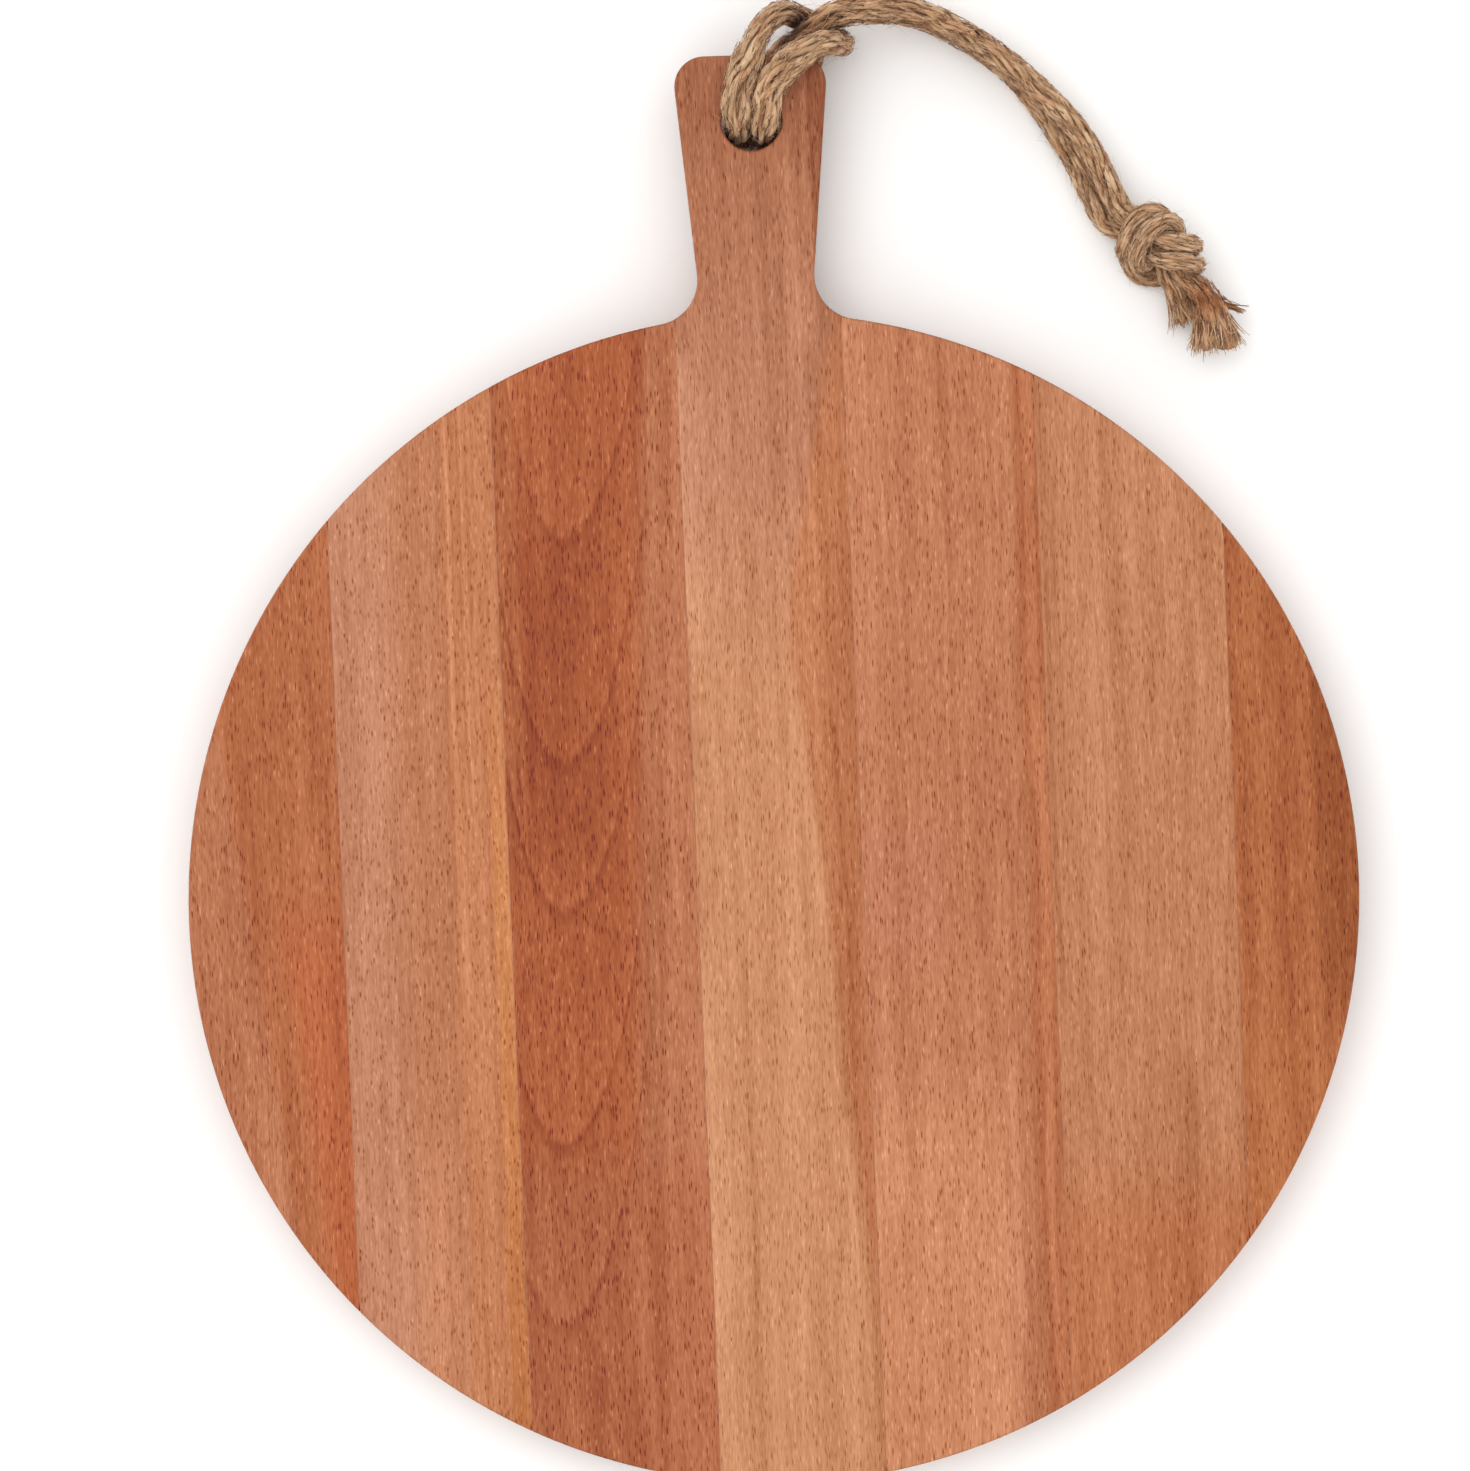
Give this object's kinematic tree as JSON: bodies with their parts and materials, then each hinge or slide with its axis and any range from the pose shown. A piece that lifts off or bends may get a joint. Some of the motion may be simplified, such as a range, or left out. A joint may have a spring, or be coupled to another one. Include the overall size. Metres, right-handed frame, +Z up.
{
  "type": "round serving board",
  "caption": "Round edge-glued wooden serving board with a flared handle and a knotted jute rope loop hitched through the handle's hanging hole.",
  "frame": {"origin": "centre of the board's box on the table that it lies on", "axes": "+Y from the disc towards the handle's end, +X to the right as seen from above, +Z up from the table"},
  "size_m": [0.35, 0.4448, 0.0321],
  "materials": {
    "beech_1": "fine sanded and lightly oiled, satin",
    "beech_2": "fine sanded and lightly oiled, satin",
    "beech_3": "fine sanded and lightly oiled, satin",
    "beech_4": "fine sanded and lightly oiled, satin",
    "beech_5": "fine sanded and lightly oiled, satin",
    "beech_6": "fine sanded and lightly oiled, satin",
    "beech_7": "fine sanded and lightly oiled, satin",
    "glue": "cured wood glue, satin",
    "jute": "natural three-strand jute, matte and hairy"
  },
  "bodies": {
    "board": {"stave_1": "beech_1", "stave_2": "beech_2", "stave_3": "beech_3", "stave_4": "beech_4", "stave_5": "beech_5", "stave_6": "beech_6", "stave_7": "beech_7", "glue_line_1": "glue", "glue_line_2": "glue", "glue_line_3": "glue", "glue_line_4": "glue", "glue_line_5": "glue", "glue_line_6": "glue", "rope_hitch": "jute"},
    "rope_end": {"rope_strand_1": "jute", "rope_strand_2": "jute", "rope_knot": "jute", "rope_tail_1": "jute", "rope_tail_2": "jute"}
  },
  "joints": [
    {"name": "rope_swing", "type": "hinge", "parent": "board", "child": "rope_end", "pos_m": [0.069, 0.2165, 0], "axis": [0, 0, 1], "range_deg": [-10, 90], "deforming": ["rope_strand_1", "rope_strand_2"]}
  ]
}
